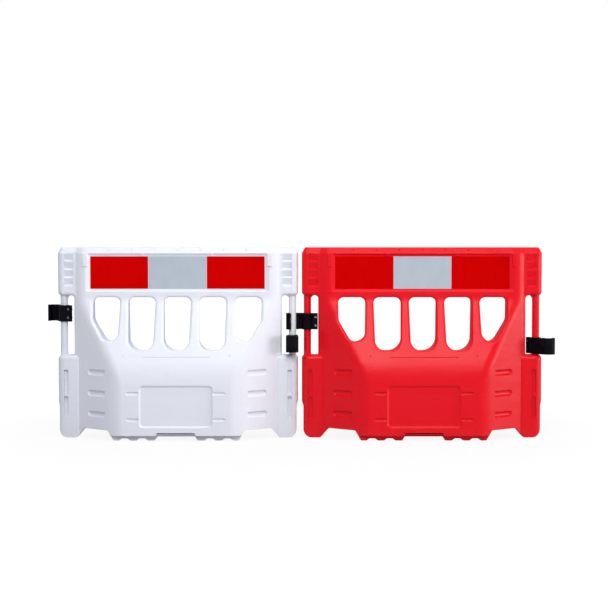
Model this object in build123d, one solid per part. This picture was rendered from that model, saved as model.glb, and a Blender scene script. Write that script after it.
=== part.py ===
"""Two water-fillable traffic separator barriers, linked end to end by a swivelling hook clip.

Millimetres, +Z up. X runs along the row, the front is -Y, and the floor is Z = 0.
The origin is on the floor, midway between the two units. Both units come from one mould.
"""

import os
from math import atan2, cos, degrees, hypot, radians, sin, tan

from build123d import *

# Overall size of one unit and the space between the two
unit_length = 1250.0
unit_height = 990.0
unit_gap = 20.0
wall = 4.0

# Plan of the moulding: end posts, slanting sides and a flat front
base_half_depth = 195.0
plan_overrun = 5.0
post_half_depth = 38.0
post_inner_end = 529.0
post_inner_radius = 20.0
post_corner_radius = 30.0
front_corner = 304.0
front_corner_radius = 200.0

# Side view of the moulding: upright base, sloping shoulder, upright top with a chamfered rail
base_bottom = 27.0
shoulder_foot = 350.0
shoulder_foot_radius = 400.0
shoulder_top = 720.0
shoulder_top_radius = 120.0
upper_half_depth = 60.0
rail_chamfer_height = 30.0
rail_chamfer_depth = 16.0
rail_edge_radius = 10.0
corner_blend_radius = 80.0

# End bars, which the clips turn on, and the slots behind them
bar_radius = 19.0
bar_inset = 10.0
bar_bore_radius = 13.0
slot_width = 37.5
slot_bottom = 430.0
slot_top = 740.0
slot_corner_radius = 18.0
slot_foot_radius = 6.0
slot_rim_radius = 18.0
bar_root_half_depth = 12.0

# Five through holes, measured where the upper front is and drafted to widen towards the back
hole_pitch = 183.4
hole_width = 139.0
hole_top = 730.0
hole_bottom = 456.0
hole_draft = 4.0
hole_wall = 6.0
hole_top_radius = 30.0
hole_bottom_radius = 56.0
hole_rim_radius = 12.0
hole_back_rim_radius = 4.0
outer_hole_bottom = 503.0
outer_hole_slant_top = 612.0
outer_hole_slant_foot = 78.0
outer_hole_slant_radius = 60.0
outer_hole_outer_radius = 42.0
outer_hole_inner_radius = 50.0

# Lower end posts and their feet
foot_post_inner = 500.0
foot_post_half_depth = 52.0
foot_post_corner_radius = 38.0
foot_post_inner_radius = 30.0
foot_post_top_radius = 22.0
foot_step_top = 190.0
foot_step_bottom = 165.0
foot_step_in = 8.0
foot_step_radius = 15.0
foot_heel_radius = 45.0
foot_toe_radius = 20.0

# Gaps under the moulding
arch_foot_outer = 528.0
arch_top_outer = 485.0
arch_top_inner = 351.0
arch_foot_inner = 322.0
arch_height = 52.0
arch_radius = 12.0
tunnel_half_width = 97.0
tunnel_foot_half_width = 110.0
tunnel_height = 42.0
plinth_half_depth = 165.0
plinth_tunnel_height = 21.0
nub_valley_height = 11.0
nub_valley_centres = (174.0, 264.0)
nub_valley_half_width = 28.0
nub_valley_half_floor = 16.0
nub_radius = 14.0

# Sheet recess near the top and the three reflective sheets in it
sheet_width = 300.0
sheet_height = 168.0
sheet_thickness = 1.0
sheet_gap = 2.0
sheet_edge_clearance = 1.0
sheet_below_top = 131.0
sheet_corner_radius = 2.0
recess_depth = 10.0
recess_floor_height = 177.0
recess_side_draft = 23.0
recess_edge_draft = 11.0
recess_corner_radius = 5.0
gusset_offset = 180.0
gusset_width = 9.0
gusset_below_top = 44.0
lug_gap = 13.0
lug_width = 26.0
lug_height = 70.0
lug_rise = 6.0
lug_radius = 3.0
dimple_pitch = 119.0
dimple_count = 7
dimple_radius = 4.0
dimple_below_top = 15.0
dimple_floor_half_depth = 47.0

# Stepped finger grips in the upper posts and slots in the lower ones
grip_inner = 544.0
grip_outer = 592.0
grip_below_top = 33.0
grip_step = 42.5
grip_count = 4
grip_depth = 12.0
grip_ledge = 11.0
post_slot_x = 581.0
post_slot_width = 22.0
post_slot_corner_radius = 6.0
post_slot_depth = 13.0
post_slots = ((103.0, 215.0), (228.0, 354.0))

# Panel, short grooves, dents and marks on the base
panel_width = 379.0
panel_bottom = 67.0
panel_top = 285.0
panel_depth = 8.0
panel_draft = 10.0
panel_corner_radius = 12.0
tick_length = 56.0
tick_depth = 5.0
tick_radius = 10.0
tick_levels = (109.0, 244.0)
dent_levels = (130.0, 238.0, 346.0)
dent_outer = 451.0
dent_inner = 367.0
dent_depth = 11.0
dent_radius = 17.0
crease_length = 350.0
crease_height = 427.0
crease_width = 3.0
crease_depth = 1.5
pinhole_offset = 273.0
pinhole_height = 434.0
pinhole_radius = 4.0
pinhole_depth = 2.5

# Fill port in the top rail: recessed seat, neck, gasket and screw cap
fill_recess_radius = 38.0
fill_seat_depth = 14.0
fill_neck_radius = 24.0
fill_neck_wall = 12.0
fill_neck_length = 28.0
fill_shank_clearance = 0.6
gasket_thickness = 3.0
gasket_bore_clearance = 0.6
gasket_radius = 31.0
cap_radius = 32.0
cap_thickness = 8.0
cap_shank_length = 18.0
cap_grip_width = 10.0
cap_grip_depth = 5.0
cap_grip_radius = 26.0
cap_notches = 12
cap_notch_radius = 3.0

# Drain port low on the back: recessed seat, neck, seal ring and screw plug
drain_x = 222.0
drain_height = 64.0
drain_recess_radius = 26.0
drain_seat_depth = 12.0
drain_neck_radius = 14.0
drain_neck_wall = 10.0
drain_neck_length = 20.0
drain_shank_clearance = 0.5
seal_thickness = 3.0
seal_bore_clearance = 0.5
seal_radius = 19.0
plug_radius = 20.0
plug_thickness = 8.0
plug_shank_length = 16.0
plug_key_width = 12.0
plug_key_depth = 5.0

# Link clips: a split clamp ring on the unit's own bar, and a hook for the next unit's bar
clip_height = 85.0
clip_ring_clearance = 0.1
clip_ring_wall = 9.0
clip_hook_clearance = 0.1
clip_hook_wall = 14.9
clip_hook_tip = 8.0
clip_tip_radius = 4.0
clip_flange_reach = 54.0
clip_flange_thickness = 8.0
clip_slit = 3.0
screw_reach = 43.0
screw_half_pitch = 22.0
screw_radius = 3.0
screw_hole_clearance = 0.3
screw_head_radius = 5.6
screw_head_height = 4.0
screw_tail = 2.0
nut_flats = 10.0
nut_height = 5.0
nut_clearance = 0.05

# How far each clip is from an end of its slot or from the clip below it
white_left_clip_drop = 51.5
white_right_clip_lift = 17.5
red_left_clip_lift = 29.0
red_right_clip_lift = 4.5

# Which way each clip points, in degrees from +X seen from above
white_left_clip_angle = 140.0
white_right_clip_angle = -90.0
red_left_clip_angle = 180.0
red_right_clip_angle = -40.0

# Values that follow from the ones above
half_length = unit_length / 2
unit_pitch = unit_length + unit_gap
bar_x = half_length - bar_inset - bar_radius
link_pitch = unit_pitch - 2 * bar_x
slot_inner = bar_x - bar_radius - slot_width
recess_floor_width = 3 * sheet_width + 2 * sheet_gap + 2 * sheet_edge_clearance
recess_floor_half_depth = upper_half_depth - recess_depth
sheet_centre_height = unit_height - sheet_below_top
gusset_bottom = unit_height - gusset_below_top
dimple_height = unit_height - dimple_below_top
grip_top = unit_height - grip_below_top
shoulder_slope = (base_half_depth - upper_half_depth) / (shoulder_top - shoulder_foot)
side_run = post_inner_end - front_corner
side_rise = base_half_depth + plan_overrun - post_half_depth
side_slope = side_rise / side_run
fill_seat = unit_height - fill_seat_depth
drain_seat = base_half_depth - drain_seat_depth
white_left_clip_height = slot_top - white_left_clip_drop - clip_height / 2
white_right_clip_height = slot_bottom + white_right_clip_lift + clip_height / 2
red_left_clip_height = white_right_clip_height + clip_height + red_left_clip_lift
red_right_clip_height = slot_bottom + red_right_clip_lift + clip_height / 2

# How far cutters reach, how far they run past the surface they start from, and how near counts as touching
far = unit_length
overrun = 1.0
TINY = 0.01


def outline(corners):
    """Flat face through (a, b) corners, each rounded by its own radius."""
    face = make_face(Polyline([(a, b) for a, b, r in corners], close=True))
    for a, b, r in corners:
        if r:
            face = fillet(face.vertices().sort_by_distance((a, b, 0))[0], r)
    return face


def mirrored_outline(half):
    """Outline of corners given for positive a, and their mirror images."""
    return outline(half + [(-a, b, r) for a, b, r in reversed(half)])


def through(face, half_depth=far):
    """Prism along Y of a face drawn as X and Z."""
    return extrude(Plane.XZ * face, amount=half_depth, both=True)


def drafted(face):
    """Prism along Y that widens from front to back; the face is its section at the upper front."""
    reach = base_half_depth + overrun
    narrowing = (reach - upper_half_depth) * tan(radians(hole_draft))
    start = Plane.XZ.offset(reach) * grown(face, -narrowing)
    return extrude(start, amount=2 * reach, dir=(0, 1, 0), taper=-hole_draft)


def along(face, half_run=far):
    """Prism along X of a face drawn as Y and Z."""
    return extrude(Plane.YZ * face, amount=half_run, both=True)


def grown(face, amount):
    """Flat face grown all round by an amount, or shrunk by a negative one."""
    return offset(face, amount) if amount else face


def block(x0, x1, y0, y1, z0, z1):
    """Box between the given limits."""
    middle = Pos((x0 + x1) / 2, (y0 + y1) / 2, (z0 + z1) / 2)
    return middle * Box(x1 - x0, y1 - y0, z1 - z0)


def rod(x, z, radius, y0, y1):
    """Cylinder along Y."""
    return Pos(x, (y0 + y1) / 2, z) * Rot(90, 0, 0) * Cylinder(radius, y1 - y0)


def post_rod(x, radius, z0, z1):
    """Cylinder along Z."""
    return Pos(x, 0, (z0 + z1) / 2) * Cylinder(radius, z1 - z0)


def ends(shape):
    """A shape at the +X end and its mirror image at the -X end."""
    return [shape, mirror(shape, Plane.YZ)]


def faces(shape):
    """A shape on the front and its mirror image on the back."""
    return [shape, mirror(shape, Plane.XZ)]


def four(shapes):
    """Each shape mirrored to both ends and both faces."""
    return [copy for shape in shapes for side in faces(shape) for copy in ends(side)]


def half_depth_at(height):
    """Half depth of the sloping shoulder at a height."""
    return upper_half_depth + (shoulder_top - height) * shoulder_slope


def only_solid(shape):
    """The one solid that a boolean result holds."""
    return shape.solids()[0]


def edges_where(solid, test):
    """Edges whose middle point passes a test."""
    return [edge for edge in solid.edges() if test(edge.position_at(0.5))]


def plan_face(inset):
    """Plan of the moulding over the slanting sides and the end posts."""
    half = [
        (half_length, -post_half_depth, post_corner_radius),
        (post_inner_end, -post_half_depth, post_inner_radius),
        (front_corner, -base_half_depth - plan_overrun, front_corner_radius),
    ]
    front = half + [(-a, b, r) for a, b, r in reversed(half)]
    return grown(outline(front + [(a, -b, r) for a, b, r in reversed(front)]), -inset)


def profile_face(inset):
    """Side view of the moulding, with a plain top."""
    face = mirrored_outline([
        (base_half_depth, base_bottom, 0),
        (base_half_depth, shoulder_foot, shoulder_foot_radius),
        (upper_half_depth, shoulder_top, shoulder_top_radius),
        (upper_half_depth, unit_height, 0),
    ])
    return grown(face, -inset)


def hole_faces(grow):
    """Front views of the five holes."""
    half = hole_width / 2
    middle = mirrored_outline([(half, hole_top, hole_top_radius), (half, hole_bottom, hole_bottom_radius)])
    inner = 2 * hole_pitch - half
    outer = 2 * hole_pitch + half
    slanted = outline([
        (inner, hole_top, hole_top_radius),
        (outer, hole_top, hole_top_radius),
        (outer, outer_hole_slant_top, outer_hole_slant_radius),
        (inner + outer_hole_slant_foot, outer_hole_bottom, outer_hole_outer_radius),
        (inner, outer_hole_bottom, outer_hole_inner_radius),
    ])
    row = [Pos(-hole_pitch) * middle, middle, Pos(hole_pitch) * middle] + ends(slanted)
    return [grown(face, grow) for face in row]


def slot_face():
    """Front view of what is cut away round the bar at the +X end."""
    beyond = half_length + slot_width
    return outline([
        (slot_inner, slot_bottom, slot_foot_radius),
        (beyond, slot_bottom, 0),
        (beyond, slot_top, 0),
        (slot_inner, slot_top, slot_corner_radius),
    ])


def arch_face():
    """Front view of the gap under a slanting side, at the +X end."""
    return outline([
        (arch_foot_outer + overrun, -overrun, 0),
        (arch_top_outer, arch_height, arch_radius),
        (arch_top_inner, arch_height, arch_radius),
        (arch_foot_inner - overrun, -overrun, 0),
    ])


def tunnel_face(height):
    """Front view of the middle gap under the base."""
    return mirrored_outline([
        (tunnel_foot_half_width, -overrun, 0),
        (tunnel_half_width, height, nub_radius / 2),
    ])


def ball_bar(radius, length):
    """Round bar along X that starts in a ball."""
    return extrude(Plane.YZ * Circle(radius), amount=length) + Sphere(radius)


def dent_tool(level, grow=0.0):
    """Dent cutter at the +X end of the front: a round bar with a ball end, sunk in the slanting side."""
    run = dent_outer - dent_inner
    length = hypot(run, run * side_slope)
    surface = post_half_depth + (post_inner_end - dent_outer) * side_slope
    side_angle = atan2(side_slope, 1)
    radius = dent_radius + grow
    bar = ball_bar(radius, length + grow)
    out = dent_radius - dent_depth
    start = Pos(dent_outer + out * sin(side_angle), -surface - out * cos(side_angle), level)
    return start * Rot(0, 0, 180 + degrees(side_angle)) * bar


def pocket(width, height, draft_x, draft_z, depth, radius, level, half_depth):
    """Drafted pocket in an upright front face: floor of the given size, walls leaning outward."""
    reach = (depth + overrun) / depth
    floor = Plane(origin=(0, -half_depth + depth, level), z_dir=(0, -1, 0), x_dir=(1, 0, 0))
    mouth = floor.offset(depth * reach)
    mouth_radius = radius + min(draft_x, draft_z) * reach
    return loft([
        floor * RectangleRounded(width, height, radius),
        mouth * RectangleRounded(width + 2 * draft_x * reach, height + 2 * draft_z * reach, mouth_radius),
    ])


def rounded_body(inset):
    """Plan and side view crossed, with the edges where the slanting sides meet the shoulder blended."""
    body = only_solid(extrude(plan_face(inset), amount=unit_height - inset) & along(profile_face(inset)))
    flat = upper_half_depth - inset
    top = unit_height - inset

    def on_corner(p):
        on_front = abs(abs(p.Y) - flat) < TINY and abs(p.X) > front_corner
        return on_front and shoulder_top < p.Z < top - TINY

    return body.fillet(corner_blend_radius - inset, edges_where(body, on_corner))


def with_holes(body):
    """Body with the five holes cut through and their rims rounded, less at the back."""
    cutters = [drafted(face) for face in hole_faces(0)]
    body = only_solid(body - cutters)
    nearest = upper_half_depth - TINY

    def rim(side):
        found = []
        for edge in body.edges():
            points = [edge.position_at(part) for part in (0, 0.5, 1)]
            outward = all(side * point.Y > nearest for point in points)
            if outward and any(cutter.distance_to(points[1]) < TINY for cutter in cutters):
                found.append(edge)
        return found

    body = body.fillet(hole_rim_radius, rim(-1))
    return body.fillet(hole_back_rim_radius, rim(1))


def moulding_outside():
    """Main body of the shell with its big roundings, chamfered top, end slots and holes."""
    body = rounded_body(0)
    top = body.faces().sort_by(Axis.Z)[-1]
    body = only_solid(body.chamfer(rail_chamfer_depth, rail_chamfer_height, top.edges(), top))
    chamfer_foot = unit_height - rail_chamfer_height
    body = body.fillet(rail_edge_radius, edges_where(body, lambda p: p.Z > unit_height - TINY))
    body = body.fillet(rail_edge_radius, edges_where(body, lambda p: abs(p.Z - chamfer_foot) < TINY))
    body = only_solid(body - ends(through(slot_face())))

    def on_slot_rim(p):
        on_face = abs(abs(p.Y) - post_half_depth) < TINY
        at_end = abs(p.X) > half_length - post_corner_radius
        on_level = min(abs(p.Z - slot_bottom), abs(p.Z - slot_top)) < TINY
        in_reach = slot_bottom - TINY < p.Z < slot_top + TINY and abs(p.X) > slot_inner - TINY
        return in_reach and (on_face or (at_end and on_level))

    body = body.fillet(slot_rim_radius, edges_where(body, on_slot_rim))
    return with_holes(body)


def lower_post():
    """Thicker lower post at the +X end, with the skirt that carries the slanting side down to the floor."""
    depth = foot_post_half_depth
    plan = outline([
        (foot_post_inner, -depth, foot_post_inner_radius),
        (half_length, -depth, foot_post_corner_radius),
        (half_length, depth, foot_post_corner_radius),
        (foot_post_inner, depth, foot_post_inner_radius),
    ])
    column = only_solid(extrude(plan, amount=slot_bottom))
    column = column.fillet(foot_post_top_radius, edges_where(column, lambda p: p.Z > slot_bottom - TINY))
    skirt = extrude(plan_face(0), amount=2 * base_bottom) & block(arch_top_outer, far, -far, far, 0, far)
    return column + skirt


def foot_relief():
    """What is cut from the foot at the +X end: a step in the end, a round heel and a round toe."""
    inner = half_length - foot_step_in
    side = outline([
        (arch_top_outer, arch_height, 0),
        (arch_foot_outer, 0, foot_toe_radius),
        (inner, 0, foot_heel_radius),
        (inner, foot_step_bottom, foot_step_radius),
        (half_length, foot_step_top, foot_step_radius),
        (half_length, slot_bottom, 0),
        (arch_top_outer, slot_bottom, 0),
    ])
    return block(arch_top_outer, far, -far, far, -overrun, foot_step_top) - through(side)


def plinth():
    """Set-back foot block under the middle, with a wavy underside."""
    corners = [
        (tunnel_half_width, plinth_tunnel_height, nub_radius / 2),
        (tunnel_foot_half_width, 0, nub_radius / 2),
    ]
    for centre in nub_valley_centres:
        corners += [
            (centre - nub_valley_half_width, 0, nub_radius),
            (centre - nub_valley_half_floor, nub_valley_height, nub_radius),
            (centre + nub_valley_half_floor, nub_valley_height, nub_radius),
            (centre + nub_valley_half_width, 0, nub_radius),
        ]
    slant = (arch_top_inner - arch_foot_inner) / arch_height
    top = base_bottom + wall
    corners += [(arch_foot_inner, 0, nub_radius / 2), (arch_foot_inner + slant * base_bottom, base_bottom, 0)]
    corners += [(arch_foot_inner, top + wall, 0)]
    return through(mirrored_outline(corners), plinth_half_depth)


def bar_roots():
    """Webs that arch over the tops of the slots, where the bars run into the upper posts."""
    radius = slot_width / 2
    centre_x = slot_inner + radius
    centre_z = slot_top - radius
    half = bar_root_half_depth
    web = block(centre_x, bar_x, -half, half, centre_z, slot_top + wall)
    return ends(web - rod(centre_x, centre_z, radius, -2 * half, 2 * half))


def front_cuts():
    """Cutters for one half of the front, at the +X end; the other three quarters mirror them."""
    cuts = []
    for step in range(grip_count):
        above = grip_top - step * grip_step
        below = above - grip_step
        wedge = outline([
            (-post_half_depth - overrun, above, 0),
            (-post_half_depth, above, 0),
            (-post_half_depth + grip_depth, below + grip_ledge, 0),
            (-post_half_depth, below, 0),
            (-post_half_depth - overrun, below, 0),
        ])
        cuts.append(extrude(Plane.YZ.offset(grip_inner) * wedge, amount=grip_outer - grip_inner))
    slot_floor = foot_post_half_depth - post_slot_depth
    for bottom, top in post_slots:
        base = Plane(origin=(post_slot_x, -slot_floor, (bottom + top) / 2), z_dir=(0, -1, 0), x_dir=(1, 0, 0))
        face = RectangleRounded(post_slot_width, top - bottom, post_slot_corner_radius)
        cuts.append(extrude(base * face, amount=2 * post_slot_depth))
    tick_end = panel_width / 2 + tick_length
    tick_axis = base_half_depth + tick_radius - tick_depth
    for level in tick_levels:
        cuts.append(Pos(tick_end, -tick_axis, level) * Rot(0, 0, 180) * ball_bar(tick_radius, tick_length))
    cuts += [dent_tool(level) for level in dent_levels]
    surface = half_depth_at(pinhole_height)
    floor = surface - pinhole_depth
    cuts.append(rod(pinhole_offset, pinhole_height, pinhole_radius, -surface - wall, -floor))
    return cuts


def middle_cuts():
    """Cutters that span the middle of the front; the back mirrors them."""
    recess = pocket(
        recess_floor_width, recess_floor_height, recess_side_draft, recess_edge_draft,
        recess_depth, recess_corner_radius, sheet_centre_height, upper_half_depth,
    )
    panel = pocket(
        panel_width - 2 * panel_draft, panel_top - panel_bottom - 2 * panel_draft, panel_draft, panel_draft,
        panel_depth, panel_corner_radius, (panel_top + panel_bottom) / 2, base_half_depth,
    )
    cuts = [recess, panel]
    surface = half_depth_at(crease_height)
    half = crease_length / 2
    low = crease_height - crease_width / 2
    cuts.append(block(-half, half, -surface - wall, -surface + crease_depth, low, low + crease_width))
    for index in range(dimple_count):
        x = (index - (dimple_count - 1) / 2) * dimple_pitch
        cuts.append(rod(x, dimple_height, dimple_radius, -upper_half_depth, -dimple_floor_half_depth))
    return cuts


def recess_ribs():
    """Small ribs under the top of the sheet recess, and a raised lug at each upper corner, on the front."""
    top = unit_height - rail_chamfer_height
    root = -recess_floor_half_depth + wall
    left = gusset_offset - gusset_width / 2
    right = left + gusset_width
    ribs = ends(block(left, right, -upper_half_depth, root, gusset_bottom, top))
    inner = recess_floor_width / 2 - sheet_edge_clearance + lug_gap
    face = -upper_half_depth - lug_rise
    lug = block(inner, inner + lug_width, face, root, top - lug_height, top)
    return ribs + ends(fillet(lug.faces().sort_by(Axis.Y)[0].edges(), lug_radius))


def drain_rod(radius, y0, y1):
    """Cylinder on the axis of the drain port."""
    return rod(drain_x, drain_height, radius, y0, y1)


def hollow():
    """Space inside the shell, kept a wall away from every outside face."""
    space = rounded_body(wall)
    solid = [drafted(face) for face in hole_faces(hole_wall)]
    solid += ends(through(grown(slot_face(), slot_rim_radius)))
    solid += ends(through(grown(arch_face(), wall)))
    solid.append(through(grown(tunnel_face(tunnel_height), wall)))
    recess_limit = recess_floor_half_depth - wall
    grip_limit = post_half_depth - grip_depth - wall
    rail_limit = upper_half_depth - 2 * rail_chamfer_depth
    rail_foot = unit_height - rail_chamfer_height - wall
    post_limit = half_length - foot_step_in - 2 * wall
    solid += faces(block(-far, far, -far, -recess_limit, hole_top, far))
    solid += faces(block(-far, far, -far, -rail_limit, rail_foot, far))
    solid += four([block(slot_inner - wall, far, -far, -grip_limit, slot_bottom, far)])
    solid += ends(block(slot_inner - 3 * slot_rim_radius, far, -far, far, rail_foot, far))
    solid += ends(block(post_limit, far, -far, far, -far, slot_bottom))
    panel_reach = panel_width / 2 + tick_length + wall
    panel_limit = base_half_depth - panel_depth - wall
    panel_low = panel_bottom - wall
    panel_high = panel_top + wall
    solid += faces(block(-panel_reach, panel_reach, -far, -panel_limit, panel_low, panel_high))
    solid += four([dent_tool(level, wall) for level in dent_levels])
    solid.append(post_rod(0, fill_neck_radius + fill_neck_wall, fill_seat - fill_neck_length, far))
    solid.append(post_rod(0, fill_recess_radius + wall, fill_seat - wall, far))
    neck_end = drain_seat - drain_neck_length
    solid.append(drain_rod(drain_neck_radius + drain_neck_wall, neck_end, far))
    solid.append(drain_rod(drain_recess_radius + wall, drain_seat - wall, far))
    space = space - solid
    nub_floor = nub_valley_height + wall
    nub_depth = plinth_half_depth - wall
    inner = tunnel_foot_half_width + 2 * wall
    outer = arch_foot_inner - wall
    space = space + ends(block(inner, outer, -nub_depth, nub_depth, nub_floor, tunnel_height))
    bore = slot_bottom - 2 * slot_rim_radius
    return space + ends(post_rod(bar_x, bar_bore_radius, bore, slot_top + 2 * slot_rim_radius))


def ports():
    """Cutters for the fill port in the rail and the drain port in the back."""
    neck_bottom = fill_seat - fill_neck_length
    neck_end = drain_seat - drain_neck_length
    return [
        post_rod(0, fill_recess_radius, fill_seat, far),
        post_rod(0, fill_neck_radius, neck_bottom - wall, far),
        drain_rod(drain_recess_radius, drain_seat, far),
        drain_rod(drain_neck_radius, neck_end - wall, far),
    ]


def shell_outside():
    """Outside of the shell: body, lower posts, plinth, bars and every dent and recess."""
    body = moulding_outside() + ends(lower_post())
    body = body - ends(foot_relief()) - ends(through(arch_face())) - through(tunnel_face(tunnel_height))
    body = body + plinth()
    body = body - four(front_cuts()) - [side for cut in middle_cuts() for side in faces(cut)]
    body = body + [side for rib in recess_ribs() for side in faces(rib)]
    return body + ends(post_rod(bar_x, bar_radius, slot_bottom - wall, slot_top + wall)) + bar_roots()


def shell():
    """One hollow moulding."""
    return shell_outside() - hollow() - ports()


def sheet(column, side):
    """Reflective sheet on the recess floor; side is -1 for the front and 1 for the back."""
    centre = (column * (sheet_width + sheet_gap), side * recess_floor_half_depth, sheet_centre_height)
    base = Plane(origin=centre, z_dir=(0, side, 0), x_dir=(1, 0, 0))
    face = RectangleRounded(sheet_width, sheet_height, sheet_corner_radius)
    return extrude(base * face, amount=sheet_thickness)


def fill_gasket():
    """Flat ring under the cap."""
    top = fill_seat + gasket_thickness
    bore = fill_neck_radius + gasket_bore_clearance
    return post_rod(0, gasket_radius, fill_seat, top) - post_rod(0, bore, fill_seat, top)


def fill_cap():
    """Screw cap with a grip bar across a dished top and a notched rim."""
    seat = fill_seat + gasket_thickness
    top = seat + cap_thickness
    cap = post_rod(0, cap_radius, seat, top)
    dish = post_rod(0, cap_grip_radius, top - cap_grip_depth, top)
    dish = dish - block(-far, far, -cap_grip_width / 2, cap_grip_width / 2, 0, far)
    notch = post_rod(cap_radius + cap_notch_radius / 2, cap_notch_radius, seat, top)
    notches = [Rot(0, 0, 360 * index / cap_notches) * notch for index in range(cap_notches)]
    shank = post_rod(0, fill_neck_radius - fill_shank_clearance, seat - cap_shank_length, seat)
    return cap - dish - notches + shank


def drain_seal():
    """Flat ring under the head of the plug."""
    end = drain_seat + seal_thickness
    bore = drain_neck_radius + seal_bore_clearance
    return drain_rod(seal_radius, drain_seat, end) - drain_rod(bore, drain_seat, end)


def drain_plug():
    """Screw plug with a square key recess in its head."""
    seat = drain_seat + seal_thickness
    end = seat + plug_thickness
    key = Pos(drain_x, end, drain_height) * Box(plug_key_width, 2 * plug_key_depth, plug_key_width)
    shank = drain_rod(drain_neck_radius - drain_shank_clearance, seat - plug_shank_length, seat)
    return drain_rod(plug_radius, seat, end) - key + shank


def clip():
    """Split clamp ring round the origin with a hook towards +X, open towards +Y."""
    ring_bore = bar_radius + clip_ring_clearance
    ring_outer = ring_bore + clip_ring_wall
    hook_bore = bar_radius + clip_hook_clearance
    hook_outer = hook_bore + clip_hook_wall
    flange_half = clip_slit / 2 + clip_flange_thickness
    flange = outline([
        (0, -flange_half, 0),
        (-clip_flange_reach, -flange_half, clip_tip_radius),
        (-clip_flange_reach, flange_half, clip_tip_radius),
        (0, flange_half, 0),
    ])
    web = outline([
        (0, -ring_outer, 0),
        (link_pitch, -hook_outer, 0),
        (link_pitch, -hook_bore, 0),
        (0, -ring_bore, 0),
    ])
    tip = link_pitch + clip_hook_tip
    near = link_pitch - hook_outer - overrun
    beyond = hook_outer + overrun
    mouth = outline([(near, 0, 0), (tip, 0, 0), (tip, beyond, 0), (near, beyond, 0)])
    half_slit = clip_slit / 2
    slit = outline([(-far, -half_slit, 0), (0, -half_slit, 0), (0, half_slit, 0), (-far, half_slit, 0)])
    section = Circle(ring_outer) + flange + web + Pos(link_pitch) * Circle(hook_outer)
    section = section - [Circle(ring_bore), Pos(link_pitch) * Circle(hook_bore), mouth, slit]
    ends_of_hook = [v for v in section.vertices() if v.X > near and v.Y > -TINY]
    section = fillet(ends_of_hook, clip_tip_radius)
    body = extrude(Pos(0, 0, -clip_height / 2) * section, amount=clip_height)
    hole = screw_radius + screw_hole_clearance
    return body - [rod(-screw_reach, z, hole, -far, far) for z in (-screw_half_pitch, screw_half_pitch)]


def clip_screws():
    """Two screws through the flanges, heads towards +Y."""
    face = clip_slit / 2 + clip_flange_thickness
    screws = []
    for z in (-screw_half_pitch, screw_half_pitch):
        head = rod(-screw_reach, z, screw_head_radius, face, face + screw_head_height)
        key = rod(-screw_reach, z, screw_radius, face + screw_head_height / 2, face + screw_head_height)
        shank = rod(-screw_reach, z, screw_radius, -face - nut_height - screw_tail, face)
        screws.append(only_solid(head - key + shank))
    return Compound(screws)


def clip_nuts():
    """Two hexagon nuts on the screws."""
    face = clip_slit / 2 + clip_flange_thickness
    nuts = []
    for z in (-screw_half_pitch, screw_half_pitch):
        base = Plane(origin=(-screw_reach, -face, z), z_dir=(0, -1, 0), x_dir=(1, 0, 0))
        hexagon = RegularPolygon(nut_flats / 2, 6, major_radius=False) - Circle(screw_radius + nut_clearance)
        nuts.append(only_solid(extrude(base * hexagon, amount=nut_height)))
    return Compound(nuts)


os.makedirs("parts", exist_ok=True)


def save(shape, place, name):
    """Write one node in the shared frame."""
    export_step(place * shape, f"parts/{name}.step")


unit_shapes = {
    "shell": shell(),
    "fill_cap": fill_cap(),
    "fill_gasket": fill_gasket(),
    "drain_plug": drain_plug(),
    "drain_seal": drain_seal(),
}
for face_name, side in (("front", -1), ("back", 1)):
    for column_name, column in (("left", -1), ("middle", 0), ("right", 1)):
        unit_shapes[f"{face_name}_sheet_{column_name}"] = sheet(column, side)
clip_shapes = {"clip": clip(), "clip_screws": clip_screws(), "clip_nuts": clip_nuts()}

white = Pos(-unit_pitch / 2, 0, 0)
red = Pos(unit_pitch / 2, 0, 0)
for unit_name, place in (("white", white), ("red", red)):
    for name, shape in unit_shapes.items():
        save(shape, place, f"{unit_name}_{name}")

clip_places = {
    "white_left": white * Pos(-bar_x, 0, white_left_clip_height) * Rot(0, 0, white_left_clip_angle),
    "white_right": white * Pos(bar_x, 0, white_right_clip_height) * Rot(0, 0, white_right_clip_angle),
    "red_left": red * Pos(-bar_x, 0, red_left_clip_height) * Rot(0, 0, red_left_clip_angle),
    "red_right": red * Pos(bar_x, 0, red_right_clip_height) * Rot(0, 0, red_right_clip_angle),
}
for clip_name, place in clip_places.items():
    for name, shape in clip_shapes.items():
        save(shape, place, f"{clip_name}_{name}")
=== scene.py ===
import math

import bpy
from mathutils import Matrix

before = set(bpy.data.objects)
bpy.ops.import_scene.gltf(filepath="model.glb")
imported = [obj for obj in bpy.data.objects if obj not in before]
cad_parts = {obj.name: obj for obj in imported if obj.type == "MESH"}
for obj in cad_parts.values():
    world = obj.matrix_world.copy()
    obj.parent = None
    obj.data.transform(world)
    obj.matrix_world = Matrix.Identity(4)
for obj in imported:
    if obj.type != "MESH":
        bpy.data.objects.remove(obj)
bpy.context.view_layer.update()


# Barrier shells: one hollow blow moulding each, in white and in red polyethylene.
# The mould leaves a faint stipple, slow ripples where the wall cooled, drawn streaks along the
# length, and a seam where its two halves met. Bars, feet and recesses are part of the same piece.

polyethylene_specular = 0.2
moulded_edge_radius = 0.002
stipple_height = 0.00022
ripple_height = 0.0016
seam_height = 0.0005
dust_reach = 0.12
dust_cover = 0.12
dust_roughening = 0.12
scuff_roughening = 0.10
grazing_roughening = 0.5


def add(tree, kind, fixed=None, **settings):
    """A shader node with its settings and its fixed input values."""
    item = tree.nodes.new(kind)
    for name, value in settings.items():
        setattr(item, name, value)
    for name, value in (fixed or {}).items():
        item.inputs[name].default_value = value
    return item


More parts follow.
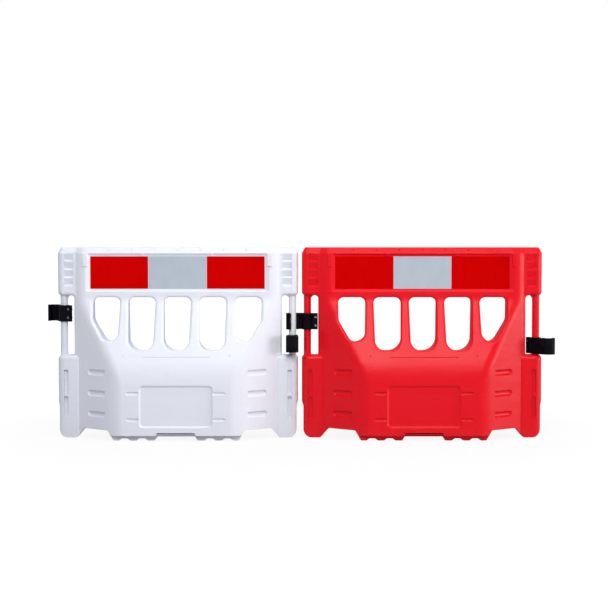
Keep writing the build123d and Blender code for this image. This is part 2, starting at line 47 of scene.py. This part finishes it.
def combine(tree, operation, first, second):
    """Math node of two sockets or numbers; returns its output."""
    item = tree.nodes.new("ShaderNodeMath")
    item.operation = operation
    for index, value in enumerate((first, second)):
        if isinstance(value, (int, float)):
            item.inputs[index].default_value = value
        else:
            tree.links.new(value, item.inputs[index])
    return item.outputs[0]


def plus(tree, first, second):
    """Sum of two sockets or numbers."""
    return combine(tree, "ADD", first, second)


def times(tree, first, second):
    """Product of two sockets or numbers."""
    return combine(tree, "MULTIPLY", first, second)


def remap(tree, value, low, high, to_low, to_high):
    """Value mapped smoothly from one range to another and held at its ends."""
    item = add(tree, "ShaderNodeMapRange", {1: low, 2: high, 3: to_low, 4: to_high},
               interpolation_type="SMOOTHSTEP")
    tree.links.new(value, item.inputs[0])
    return item.outputs[0]


def on_piece(tree):
    """Position on the piece, in metres."""
    return tree.nodes.new("ShaderNodeTexCoord").outputs["Object"]


def along_axes(tree, where):
    """The X, Y and Z of a coordinate socket."""
    item = tree.nodes.new("ShaderNodeSeparateXYZ")
    tree.links.new(where, item.inputs[0])
    return item.outputs


def noise(tree, where, scale, detail=3.0, roughness=0.5):
    """Noise over a coordinate socket; returns its value."""
    item = add(tree, "ShaderNodeTexNoise", {"Scale": scale, "Detail": detail, "Roughness": roughness})
    tree.links.new(where, item.inputs["Vector"])
    return item.outputs["Fac"]


def stretched(tree, where, x, y, z):
    """Coordinate socket scaled differently along X, Y and Z."""
    item = add(tree, "ShaderNodeMapping", {"Scale": (x, y, z)})
    tree.links.new(where, item.inputs["Vector"])
    return item.outputs["Vector"]


def effect(name, inputs, outputs):
    """Empty node group with named float inputs and outputs."""
    tree = bpy.data.node_groups.new(name, "ShaderNodeTree")
    for label in inputs:
        tree.interface.new_socket(label, in_out="INPUT", socket_type="NodeSocketFloat")
    for label in outputs:
        tree.interface.new_socket(label, in_out="OUTPUT", socket_type="NodeSocketFloat")
    return tree, tree.nodes.new("NodeGroupInput").outputs, tree.nodes.new("NodeGroupOutput").inputs


def place(tree, group, **values):
    """An effect placed in a material with its own values; returns its outputs."""
    item = tree.nodes.new("ShaderNodeGroup")
    item.node_tree = group
    for label, value in values.items():
        item.inputs[label.replace("_", " ")].default_value = value
    return item.outputs


def blank_material(name):
    """Material with a Principled shader; returns the material, its tree and the shader."""
    material = bpy.data.materials.new(name)
    material.use_nodes = True
    tree = material.node_tree
    return material, tree, tree.nodes["Principled BSDF"]


def mixed(tree, factor, first, second):
    """Colour mix; each colour is a socket or an RGB tuple. Returns the colour socket."""
    item = add(tree, "ShaderNodeMix", data_type="RGBA")
    tree.links.new(factor, item.inputs["Factor"])
    for socket, value in ((item.inputs[6], first), (item.inputs[7], second)):
        if isinstance(value, tuple):
            socket.default_value = (*value, 1.0)
        else:
            tree.links.new(value, socket)
    return item.outputs[2]


def soft_edges(tree, bump, radius):
    """Round the edges of the piece under a bump."""
    edge = add(tree, "ShaderNodeBevel", {"Radius": radius}, samples=6)
    tree.links.new(edge.outputs["Normal"], bump.inputs["Normal"])


def dress(material, *names):
    """Give CAD nodes their finish."""
    for name in names:
        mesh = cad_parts[name].data
        mesh.materials.clear()
        mesh.materials.append(material)


def moulded_skin():
    """Surface of a blow moulding: stipple, ripple, streaks and the seam of the two mould halves."""
    tree, given, result = effect("moulded skin", ("Stipple", "Ripple", "Seam"), ("Tone", "Gloss", "Height"))
    where = on_piece(tree)
    stipple = noise(tree, where, scale=420.0, detail=2.0)
    ripple = noise(tree, stretched(tree, where, 1.0, 1.0, 1.6), scale=9.0, detail=2.0)
    streak = noise(tree, stretched(tree, where, 2.5, 2.5, 90.0), scale=1.0)
    cloud = noise(tree, where, scale=3.2, detail=4.0)
    from_seam = combine(tree, "ABSOLUTE", along_axes(tree, where)["Y"], 0.0)
    seam = remap(tree, from_seam, 0.0004, 0.0012, 1.0, 0.0)
    fine = times(tree, stipple, given["Stipple"])
    slow = times(tree, ripple, given["Ripple"])
    ridge = times(tree, seam, given["Seam"])
    height = plus(tree, plus(tree, fine, slow), ridge)
    tone = plus(tree, times(tree, streak, 0.55), times(tree, cloud, 0.45))
    gloss = plus(tree, times(tree, cloud, 0.7), times(tree, stipple, 0.3))
    tree.links.new(tone, result["Tone"])
    tree.links.new(gloss, result["Gloss"])
    tree.links.new(height, result["Height"])
    return tree


def road_grime():
    """Dust that gathers low down and scuffs in patches: masks from 0 to 1."""
    tree, given, result = effect("road grime", ("Reach",), ("Dust", "Scuff"))
    where = on_piece(tree)
    ragged = times(tree, noise(tree, where, scale=14.0, detail=5.0, roughness=0.65), 0.12)
    level = combine(tree, "DIVIDE", plus(tree, along_axes(tree, where)["Z"], ragged), given["Reach"])
    low = remap(tree, level, 0.3, 1.6, 1.0, 0.0)
    speck = remap(tree, noise(tree, where, scale=160.0, detail=4.0, roughness=0.7), 0.45, 0.75, 0.0, 1.0)
    dust = times(tree, low, plus(tree, times(tree, speck, 0.6), 0.4))
    lines = noise(tree, stretched(tree, where, 6.0, 6.0, 260.0), scale=1.0, detail=4.0, roughness=0.7)
    patch = remap(tree, noise(tree, where, scale=5.0, detail=2.0), 0.5, 0.68, 0.0, 1.0)
    scuff = times(tree, remap(tree, lines, 0.6, 0.72, 0.0, 1.0), patch)
    tree.links.new(dust, result["Dust"])
    tree.links.new(scuff, result["Scuff"])
    return tree


skin = moulded_skin()
grime = road_grime()


def polyethylene(name, dark, light, dust_colour, base_roughness):
    """Moulded polyethylene between two close shades, with soft edges."""
    material, tree, shader = blank_material(name)
    surface = place(tree, skin, Stipple=stipple_height, Ripple=ripple_height, Seam=seam_height)
    dirt = place(tree, grime, Reach=dust_reach)
    tone = remap(tree, surface["Tone"], 0.36, 0.64, 0.0, 1.0)
    colour = mixed(tree, tone, dark, light)
    colour = mixed(tree, times(tree, dirt["Dust"], dust_cover), colour, dust_colour)
    tree.links.new(colour, shader.inputs["Base Color"])
    rough = remap(tree, surface["Gloss"], 0.3, 0.7, base_roughness - 0.05, base_roughness + 0.06)
    rough = plus(tree, rough, times(tree, dirt["Scuff"], scuff_roughening))
    rough = plus(tree, rough, times(tree, dirt["Dust"], dust_roughening))
    facing = add(tree, "ShaderNodeLayerWeight", {"Blend": 0.5}).outputs["Facing"]
    rough = plus(tree, rough, remap(tree, facing, 0.45, 0.85, 0.0, grazing_roughening))
    tree.links.new(rough, shader.inputs["Roughness"])
    bump = add(tree, "ShaderNodeBump", {"Strength": 1.0, "Distance": 1.0})
    tree.links.new(surface["Height"], bump.inputs["Height"])
    soft_edges(tree, bump, moulded_edge_radius)
    tree.links.new(bump.outputs["Normal"], shader.inputs["Normal"])
    shader.inputs["Specular IOR Level"].default_value = polyethylene_specular
    return material


white_plastic = polyethylene(
    "white polyethylene",
    dark=(0.75, 0.77, 0.85), light=(0.76, 0.78, 0.86),
    dust_colour=(0.60, 0.58, 0.54), base_roughness=0.34,
)
red_plastic = polyethylene(
    "red polyethylene",
    dark=(0.745, 0.001, 0.009), light=(0.765, 0.002, 0.012),
    dust_colour=(0.52, 0.10, 0.08), base_roughness=0.32,
)
dress(white_plastic, "white_shell")
dress(red_plastic, "red_shell")


# Reflective sheets: self-adhesive prismatic film, three lengths in a row on each face of a unit.
# Rows of six-sided cells lie under a clear face; the outer sheets are red, the middle one silver.

film_specular = 0.02
cell_size = 0.006
cell_line_width = 0.08
cell_line_strength = 0.45


def prism_cells():
    """Six-sided cells on the upright face of a sheet: the lines between cells and a slow change of tone."""
    tree, given, result = effect("prism cells", ("Size", "Line Width"), ("Line", "Tone"))
    where = on_piece(tree)
    position = along_axes(tree, where)
    across = combine(tree, "DIVIDE", position["X"], given["Size"])
    up = combine(tree, "DIVIDE", position["Z"], given["Size"])
    row = math.sqrt(3.0)

    def from_centres(shift):
        """Offsets from the nearest of one of the two sets of cell centres, and their squared length."""
        a = plus(tree, across, 0.5 * shift)
        b = plus(tree, up, 0.5 * row * shift)
        a = combine(tree, "SUBTRACT", combine(tree, "FLOORED_MODULO", a, 1.0), 0.5)
        b = combine(tree, "SUBTRACT", combine(tree, "FLOORED_MODULO", b, row), 0.5 * row)
        return a, b, plus(tree, times(tree, a, a), times(tree, b, b))

    a0, b0, length0 = from_centres(0.0)
    a1, b1, length1 = from_centres(1.0)
    nearer = combine(tree, "LESS_THAN", length1, length0)

    def chosen(first, second):
        """Offset from the nearer centre of the two."""
        return plus(tree, first, times(tree, nearer, combine(tree, "SUBTRACT", second, first)))

    a = combine(tree, "ABSOLUTE", chosen(a0, a1), 0.0)
    b = combine(tree, "ABSOLUTE", chosen(b0, b1), 0.0)
    slant = plus(tree, times(tree, a, 0.5), times(tree, b, 0.5 * row))
    inside = combine(tree, "SUBTRACT", 0.5, combine(tree, "MAXIMUM", a, slant))
    fade = combine(tree, "MINIMUM", combine(tree, "DIVIDE", inside, given["Line Width"]), 1.0)
    tree.links.new(combine(tree, "SUBTRACT", 1.0, fade), result["Line"])
    tone = noise(tree, stretched(tree, where, 1.0, 1.0, 0.5), scale=18.0)
    tree.links.new(tone, result["Tone"])
    return tree


cells = prism_cells()


def reflective_film(name, dark, light, line_colour):
    """Prismatic film with a clear face."""
    material, tree, shader = blank_material(name)
    pattern = place(tree, cells, Size=cell_size, Line_Width=cell_line_width)
    colour = mixed(tree, remap(tree, pattern["Tone"], 0.35, 0.65, 0.0, 1.0), dark, light)
    colour = mixed(tree, times(tree, pattern["Line"], cell_line_strength), colour, line_colour)
    tree.links.new(colour, shader.inputs["Base Color"])
    rough = remap(tree, pattern["Tone"], 0.3, 0.7, 0.24, 0.34)
    tree.links.new(rough, shader.inputs["Roughness"])
    bump = add(tree, "ShaderNodeBump", {"Strength": 0.25, "Distance": 0.0004})
    tree.links.new(pattern["Line"], bump.inputs["Height"])
    tree.links.new(bump.outputs["Normal"], shader.inputs["Normal"])
    shader.inputs["Specular IOR Level"].default_value = film_specular
    return material


red_film = reflective_film(
    "red reflective film",
    dark=(0.58, 0.0, 0.0), light=(0.60, 0.0, 0.0), line_colour=(0.50, 0.0, 0.0),
)
silver_film = reflective_film(
    "silver reflective film",
    dark=(0.43, 0.49, 0.56), light=(0.45, 0.51, 0.58), line_colour=(0.50, 0.55, 0.60),
)
units = ("white", "red")
for unit in units:
    for face in ("front", "back"):
        dress(red_film, f"{unit}_{face}_sheet_left", f"{unit}_{face}_sheet_right")
        dress(silver_film, f"{unit}_{face}_sheet_middle")


# Fill caps and drain plugs: black screw stoppers, each drawn down on a rubber ring.
# They are injection moulded, with a slight sparkle from the spark-eroded tool.

moulding_specular = 0.04
tool_grain_scale = 1500.0
moulding_edge_radius = 0.0012


def tool_texture():
    """Fine even texture of a spark-eroded mould: a height and a slight change of tone."""
    tree, given, result = effect("tool texture", ("Scale",), ("Tone", "Height"))
    where = on_piece(tree)
    grain = add(tree, "ShaderNodeTexNoise", {"Detail": 2.0})
    tree.links.new(where, grain.inputs["Vector"])
    tree.links.new(given["Scale"], grain.inputs["Scale"])
    tree.links.new(noise(tree, where, scale=22.0), result["Tone"])
    tree.links.new(grain.outputs["Fac"], result["Height"])
    return tree


texture = tool_texture()


def black_moulding(name, dark, light, low_rough, high_rough, depth):
    """Black moulded plastic or rubber with a tool texture and soft edges."""
    material, tree, shader = blank_material(name)
    surface = place(tree, texture, Scale=tool_grain_scale)
    tone = remap(tree, surface["Tone"], 0.35, 0.65, 0.0, 1.0)
    tree.links.new(mixed(tree, tone, dark, light), shader.inputs["Base Color"])
    rough = remap(tree, surface["Tone"], 0.3, 0.7, low_rough, high_rough)
    tree.links.new(rough, shader.inputs["Roughness"])
    bump = add(tree, "ShaderNodeBump", {"Strength": 0.6, "Distance": depth})
    tree.links.new(surface["Height"], bump.inputs["Height"])
    soft_edges(tree, bump, moulding_edge_radius)
    tree.links.new(bump.outputs["Normal"], shader.inputs["Normal"])
    shader.inputs["Specular IOR Level"].default_value = moulding_specular
    return material


stopper_plastic = black_moulding(
    "black stopper plastic",
    dark=(0.012, 0.012, 0.014), light=(0.02, 0.02, 0.023),
    low_rough=0.4, high_rough=0.52, depth=0.0001,
)
ring_rubber = black_moulding(
    "ring rubber",
    dark=(0.010, 0.010, 0.010), light=(0.018, 0.018, 0.018),
    low_rough=0.65, high_rough=0.8, depth=0.00012,
)
for unit in units:
    dress(stopper_plastic, f"{unit}_fill_cap", f"{unit}_drain_plug")
    dress(ring_rubber, f"{unit}_fill_gasket", f"{unit}_drain_seal")


# Link clips: black nylon mouldings, a split ring clamped on the unit's own bar and a hook for the next.
# Two dull zinc-plated screws with nuts draw the two flanges of each ring together.

clip_nylon = black_moulding(
    "black nylon",
    dark=(0.002, 0.002, 0.004), light=(0.004, 0.004, 0.007),
    low_rough=0.38, high_rough=0.5, depth=0.00015,
)
clips = ("white_left_clip", "white_right_clip", "red_left_clip", "red_right_clip")
dress(clip_nylon, *clips)


def zinc_plate(dark, light):
    """Dull zinc plating with a slight cloudy passivation."""
    material, tree, shader = blank_material("zinc plate")
    cloud = noise(tree, on_piece(tree), scale=240.0)
    tone = remap(tree, cloud, 0.35, 0.65, 0.0, 1.0)
    tree.links.new(mixed(tree, tone, dark, light), shader.inputs["Base Color"])
    tree.links.new(remap(tree, cloud, 0.3, 0.7, 0.28, 0.42), shader.inputs["Roughness"])
    shader.inputs["Metallic"].default_value = 1.0
    return material


zinc = zinc_plate(dark=(0.17, 0.175, 0.19), light=(0.23, 0.235, 0.25))
dress(zinc, *[f"{clip}_{piece}" for clip in clips for piece in ("screws", "nuts")])


# Stage: a pale floor that runs back without a visible edge and keeps the shadow of the feet,
# a pale room with a lit screen behind, a large front light, an overhead light and a side light.

floor_size = 60.0
floor_glow = 1.07
shadow_from, shadow_to = 1.2, 3.0
glow_share_near = 0.84
room_colour = (0.95, 0.97, 1.0, 1.0)
white = (1.0, 1.0, 1.0, 1.0)


def seen_directly(tree):
    """1 for rays that show the background as it is: to the camera, in a reflection or through glass."""
    ray = tree.nodes.new("ShaderNodeLightPath")
    shown = combine(tree, "MAXIMUM", ray.outputs["Is Camera Ray"], ray.outputs["Is Glossy Ray"])
    return combine(tree, "MAXIMUM", shown, ray.outputs["Is Transmission Ray"])


def shared(tree, factor, first, second, output):
    """Show one of two shaders, or a share of each."""
    item = add(tree, "ShaderNodeMixShader")
    tree.links.new(factor, item.inputs["Fac"])
    tree.links.new(first, item.inputs[1])
    tree.links.new(second, item.inputs[2])
    tree.links.new(item.outputs["Shader"], tree.nodes[output].inputs["Surface"])


half = floor_size / 2
corners = [(-half, -half, 0), (half, -half, 0), (half, half, 0), (-half, half, 0)]
floor_mesh = bpy.data.meshes.new("floor")
floor_mesh.from_pydata(corners, [], [(0, 1, 2, 3)])
floor = bpy.data.objects.new("floor", floor_mesh)
bpy.context.scene.collection.objects.link(floor)

floor_paint, tree, shader = blank_material("pale floor")
where = on_piece(tree)
tone = remap(tree, noise(tree, where, scale=1.5, detail=2.0), 0.3, 0.7, 0.0, 1.0)
tree.links.new(mixed(tree, tone, (0.50, 0.50, 0.51), (0.53, 0.53, 0.53)), shader.inputs["Base Color"])
shader.inputs["Roughness"].default_value = 0.9
shader.inputs["Specular IOR Level"].default_value = 0.1
away = add(tree, "ShaderNodeVectorMath", operation="LENGTH")
tree.links.new(where, away.inputs[0])
plain = remap(tree, away.outputs["Value"], shadow_from, shadow_to, glow_share_near, 1.0)
glow = add(tree, "ShaderNodeEmission", {"Color": white, "Strength": floor_glow})
shown = times(tree, seen_directly(tree), plain)
shared(tree, shown, shader.outputs["BSDF"], glow.outputs["Emission"], "Material Output")
floor_mesh.materials.append(floor_paint)

world = bpy.data.worlds.new("studio")
bpy.context.scene.world = world
world.use_nodes = True
tree = world.node_tree
room = tree.nodes["Background"]
room.inputs["Color"].default_value = room_colour
sky = along_axes(tree, tree.nodes.new("ShaderNodeTexCoord").outputs["Generated"])
ceiling = remap(tree, sky["Z"], -0.1, 0.9, 0.15, 0.34)
screen = remap(tree, sky["Y"], 0.1, 0.8, 0.0, 0.9)
tree.links.new(plus(tree, ceiling, screen), room.inputs["Strength"])
backdrop = add(tree, "ShaderNodeBackground", {"Color": white, "Strength": 1.0})
shared(tree, seen_directly(tree), room.outputs["Background"], backdrop.outputs["Background"], "World Output")


def soft_light(name, spot, aim, width, height, watts):
    """Rectangular soft light at a spot, turned towards a point."""
    lamp = bpy.data.lights.new(name, "AREA")
    lamp.shape = "RECTANGLE"
    lamp.size = width
    lamp.size_y = height
    lamp.energy = watts
    stand = bpy.data.objects.new(name, lamp)
    stand.location = spot
    along, back, up = (to - start for to, start in zip(aim, spot))
    yaw = math.atan2(back, along) - math.pi / 2
    pitch = math.atan2(up, math.hypot(along, back)) + math.pi / 2
    stand.rotation_euler = (pitch, 0, yaw)
    bpy.context.scene.collection.objects.link(stand)


middle = (0, 0, 0.5)
soft_light("front light", (0.1, -4.5, 3.8), middle, 4.2, 2.4, watts=196)
soft_light("overhead light", (0.5, -1.0, 4.8), middle, 4.6, 2.2, watts=62)
soft_light("side light", (13.0, -3.2, 1.9), middle, 4.5, 3.0, watts=680)


# Camera: a long lens a little above the top rails, looking slightly down on the middle of the row.
# Its place, tilt and lens are fitted to the outlines of the two units in the photograph.

camera_place = (0.021, -7.5, 1.033)
camera_tilt = 2.59
eye = bpy.data.cameras.new("camera")
eye.sensor_fit = "HORIZONTAL"
eye.sensor_width = 36.0
eye.lens = 85.1
eye.clip_end = 200.0
viewer = bpy.data.objects.new("camera", eye)
viewer.location = camera_place
viewer.rotation_euler = (math.radians(90 - camera_tilt), 0, 0)
bpy.context.scene.collection.objects.link(viewer)
bpy.context.scene.camera = viewer
bpy.context.scene.view_settings.view_transform = "Standard"
